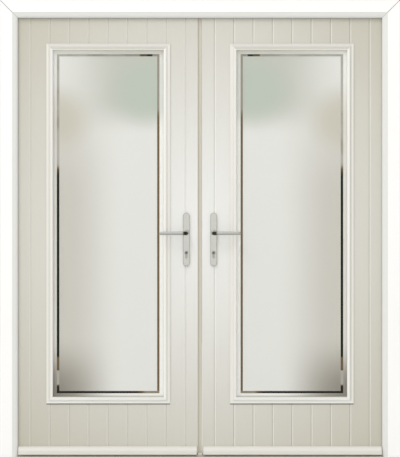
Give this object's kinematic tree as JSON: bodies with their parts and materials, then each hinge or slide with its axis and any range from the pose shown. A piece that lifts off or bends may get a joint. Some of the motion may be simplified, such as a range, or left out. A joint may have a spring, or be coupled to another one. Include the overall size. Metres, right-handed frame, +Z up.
{
  "type": "french doors",
  "caption": "Pair of inward-opening french doors in a white frame: cream tongue-and-groove leaves with tall satin glass panels, lever handles, rain deflectors and a low threshold.",
  "frame": {"origin": "floor level, middle of the opening, half way through the thickness of the leaves", "axes": "+X to the right seen from outside, +Y into the house, +Z up"},
  "size_m": [1.8, 0.152, 2.06],
  "materials": {
    "frame_white": "smooth white extruded plastic",
    "slab_cream": "moulded skin with a faint wood grain",
    "cassette_white": "smooth off-white moulding",
    "deflector_white": "smooth off-white extrusion",
    "mullion_taupe": "smooth cream extrusion",
    "threshold_grey": "mill-finish extrusion",
    "satin_glass": "acid-etched satin with a clear border line",
    "clear_glass": "clear float glass",
    "spacer_grey": "warm-edge spacer",
    "handle_chrome": "polished chrome plate",
    "cylinder_nickel": "satin nickel plate",
    "hinge_silver": "silver powder coat",
    "lock_steel": "zinc-plated steel",
    "screw_zinc": "zinc-plated steel",
    "seal_grey": "soft weather seal",
    "timber": "planed laminated softwood",
    "foam": "rigid insulating foam"
  },
  "bodies": {
    "frame": {"frame_head": "frame_white", "left_jamb": "frame_white", "right_jamb": "frame_white", "threshold": "threshold_grey", "frame_reinforcement": "lock_steel", "frame_seal": "seal_grey", "frame_hinge_leaves": "hinge_silver", "hinge_pins": "hinge_silver", "frame_screws": "screw_zinc"},
    "left_leaf": {"left_outer_skin": "slab_cream", "left_inner_skin": "slab_cream", "left_foam_core": "foam", "left_subframe": "timber", "left_outer_cassette": "cassette_white", "left_inner_cassette": "cassette_white", "left_outer_pane": "satin_glass", "left_inner_pane": "clear_glass", "left_spacer_bar": "spacer_grey", "left_rain_deflector": "deflector_white", "left_bottom_seal": "seal_grey", "left_hinge_leaves": "hinge_silver", "left_lock_body": "lock_steel", "left_outer_backplate": "handle_chrome", "left_inner_backplate": "handle_chrome", "left_cylinder": "cylinder_nickel", "left_screws": "screw_zinc", "meeting_mullion": "mullion_taupe", "mullion_seal": "seal_grey", "lock_keeps": "lock_steel"},
    "right_leaf": {"right_outer_skin": "slab_cream", "right_inner_skin": "slab_cream", "right_foam_core": "foam", "right_subframe": "timber", "right_outer_cassette": "cassette_white", "right_inner_cassette": "cassette_white", "right_outer_pane": "satin_glass", "right_inner_pane": "clear_glass", "right_spacer_bar": "spacer_grey", "right_rain_deflector": "deflector_white", "right_bottom_seal": "seal_grey", "right_hinge_leaves": "hinge_silver", "right_lock_body": "lock_steel", "right_outer_backplate": "handle_chrome", "right_inner_backplate": "handle_chrome", "right_cylinder": "cylinder_nickel", "right_screws": "screw_zinc"},
    "left_handle": {"left_outer_lever": "handle_chrome", "left_inner_lever": "handle_chrome", "left_spindle": "lock_steel"},
    "right_handle": {"right_outer_lever": "handle_chrome", "right_inner_lever": "handle_chrome", "right_spindle": "lock_steel"},
    "left_plug": {"left_cylinder_plug": "cylinder_nickel"},
    "right_plug": {"right_cylinder_plug": "cylinder_nickel"},
    "top_bolt": {"top_shootbolt": "lock_steel"},
    "bottom_bolt": {"bottom_shootbolt": "lock_steel"},
    "latch_bolt": {"latch": "lock_steel"},
    "dead_bolt": {"deadbolt": "lock_steel"},
    "upper_hook_bolt": {"upper_hook": "lock_steel"},
    "lower_hook_bolt": {"lower_hook": "lock_steel"}
  },
  "joints": [
    {"name": "left_leaf_swing", "type": "hinge", "parent": "frame", "child": "left_leaf", "pos_m": [-0.836, 0.0323, 1], "axis": [0, 0, 1], "range_deg": [0, 110]},
    {"name": "right_leaf_swing", "type": "hinge", "parent": "frame", "child": "right_leaf", "pos_m": [0.836, 0.0323, 1], "axis": [0, 0, -1], "range_deg": [0, 110]},
    {"name": "left_lever_turn", "type": "hinge", "parent": "left_leaf", "child": "left_handle", "pos_m": [-0.0615, 0, 1.014], "axis": [0, -1, 0], "range_deg": [-45, 40], "stiffness_Nm_per_rad": 4, "springref_deg": -2.86},
    {"name": "left_key_turn", "type": "hinge", "parent": "left_leaf", "child": "left_plug", "pos_m": [-0.0615, 0, 0.922], "axis": [0, -1, 0], "range_deg": [0, 360]},
    {"name": "right_lever_turn", "type": "hinge", "parent": "right_leaf", "child": "right_handle", "pos_m": [0.0615, 0, 1.014], "axis": [0, 1, 0], "range_deg": [-45, 40], "stiffness_Nm_per_rad": 4, "springref_deg": -2.86},
    {"name": "right_key_turn", "type": "hinge", "parent": "right_leaf", "child": "right_plug", "pos_m": [0.0615, 0, 0.922], "axis": [0, 1, 0], "range_deg": [0, 360]},
    {"name": "top_bolt_throw", "type": "slide", "parent": "left_leaf", "child": "top_bolt", "axis": [0, 0, 1], "range_m": [0, 0.016]},
    {"name": "bottom_bolt_throw", "type": "slide", "parent": "left_leaf", "child": "bottom_bolt", "axis": [0, 0, -1], "range_m": [0, 0.016]},
    {"name": "latch_throw", "type": "slide", "parent": "right_leaf", "child": "latch_bolt", "axis": [-1, 0, 0], "range_m": [0, 0.012]},
    {"name": "deadbolt_throw", "type": "slide", "parent": "right_leaf", "child": "dead_bolt", "axis": [-1, 0, 0], "range_m": [0, 0.015]},
    {"name": "upper_hook_turn", "type": "hinge", "parent": "right_leaf", "child": "upper_hook_bolt", "pos_m": [0.0245, 0, 1.5988], "axis": [0, -1, 0], "range_deg": [0, 90]},
    {"name": "lower_hook_turn", "type": "hinge", "parent": "right_leaf", "child": "lower_hook_bolt", "pos_m": [0.0245, 0, 0.4132], "axis": [0, -1, 0], "range_deg": [0, 90]}
  ],
  "couplings": [
    {"joint": "bottom_bolt_throw", "follows": "top_bolt_throw", "ratio": 1},
    {"joint": "upper_hook_turn", "follows": "deadbolt_throw", "rad_per_m": 104.7},
    {"joint": "lower_hook_turn", "follows": "deadbolt_throw", "rad_per_m": 104.7}
  ]
}
